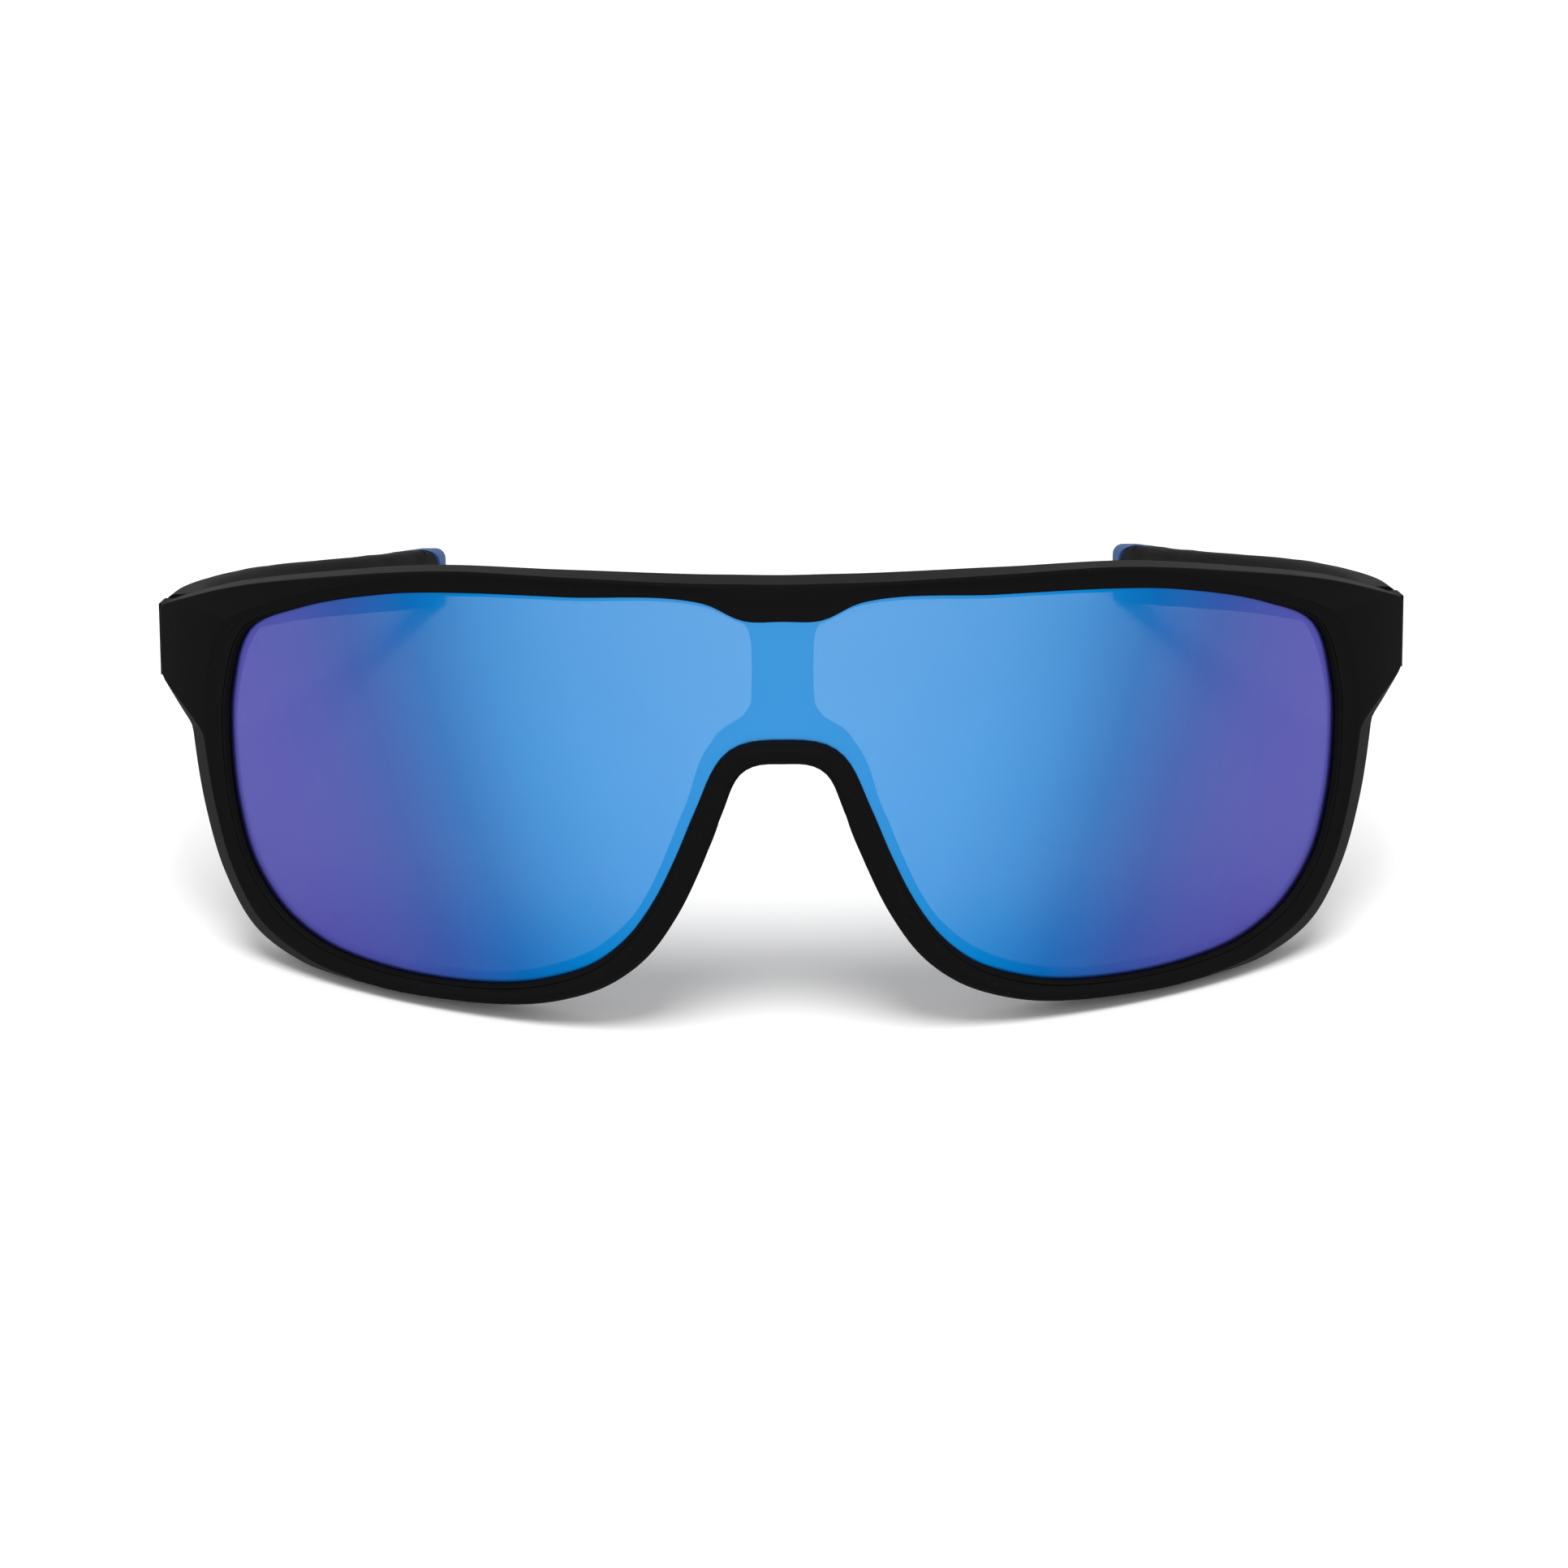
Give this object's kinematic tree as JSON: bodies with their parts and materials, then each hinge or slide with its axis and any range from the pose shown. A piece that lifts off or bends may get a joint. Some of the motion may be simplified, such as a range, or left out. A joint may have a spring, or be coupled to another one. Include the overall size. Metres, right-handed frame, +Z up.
{
  "type": "sunglasses",
  "caption": "Wraparound sport sunglasses: a blue mirrored shield lens in a matte black front, with folding arms and blue ear tips.",
  "frame": {"origin": "on the table, under the middle of the open glasses' box", "axes": "+X to the wearer's left, +Y back from the lens towards the ear tips, +Z up"},
  "size_m": [0.1412, 0.1574, 0.0505],
  "materials": {
    "frame_black": "matte, slightly soft to the touch",
    "lens_blue": "mirror coating, blue in the middle and violet at the sides",
    "pad_black": "matte",
    "tip_blue": "matte",
    "hinge_steel": "satin"
  },
  "bodies": {
    "front": {"front_frame": "frame_black", "shield_lens": "lens_blue", "nose_pad_left": "pad_black", "nose_pad_right": "pad_black", "front_hinge_leaf_left": "hinge_steel", "front_hinge_leaf_right": "hinge_steel", "hinge_screw_left": "hinge_steel", "hinge_screw_right": "hinge_steel", "front_leaf_screw_lower_left": "hinge_steel", "front_leaf_screw_upper_left": "hinge_steel", "front_leaf_screw_lower_right": "hinge_steel", "front_leaf_screw_upper_right": "hinge_steel"},
    "arm_left": {"temple_arm_left": "frame_black", "ear_tip_left": "tip_blue", "temple_hinge_leaf_left": "hinge_steel", "temple_leaf_screw_front_left": "hinge_steel", "temple_leaf_screw_rear_left": "hinge_steel"},
    "arm_right": {"temple_arm_right": "frame_black", "ear_tip_right": "tip_blue", "temple_hinge_leaf_right": "hinge_steel", "temple_leaf_screw_front_right": "hinge_steel", "temple_leaf_screw_rear_right": "hinge_steel"}
  },
  "joints": [
    {"name": "left_arm_fold", "type": "hinge", "parent": "front", "child": "arm_left", "pos_m": [0.0644, -0.03691, 0.0333], "axis": [0, 0.1829, 0.9831], "range_deg": [0, 86]},
    {"name": "right_arm_fold", "type": "hinge", "parent": "front", "child": "arm_right", "pos_m": [-0.0644, -0.03691, 0.0333], "axis": [0, -0.1829, -0.9831], "range_deg": [0, 76]}
  ]
}
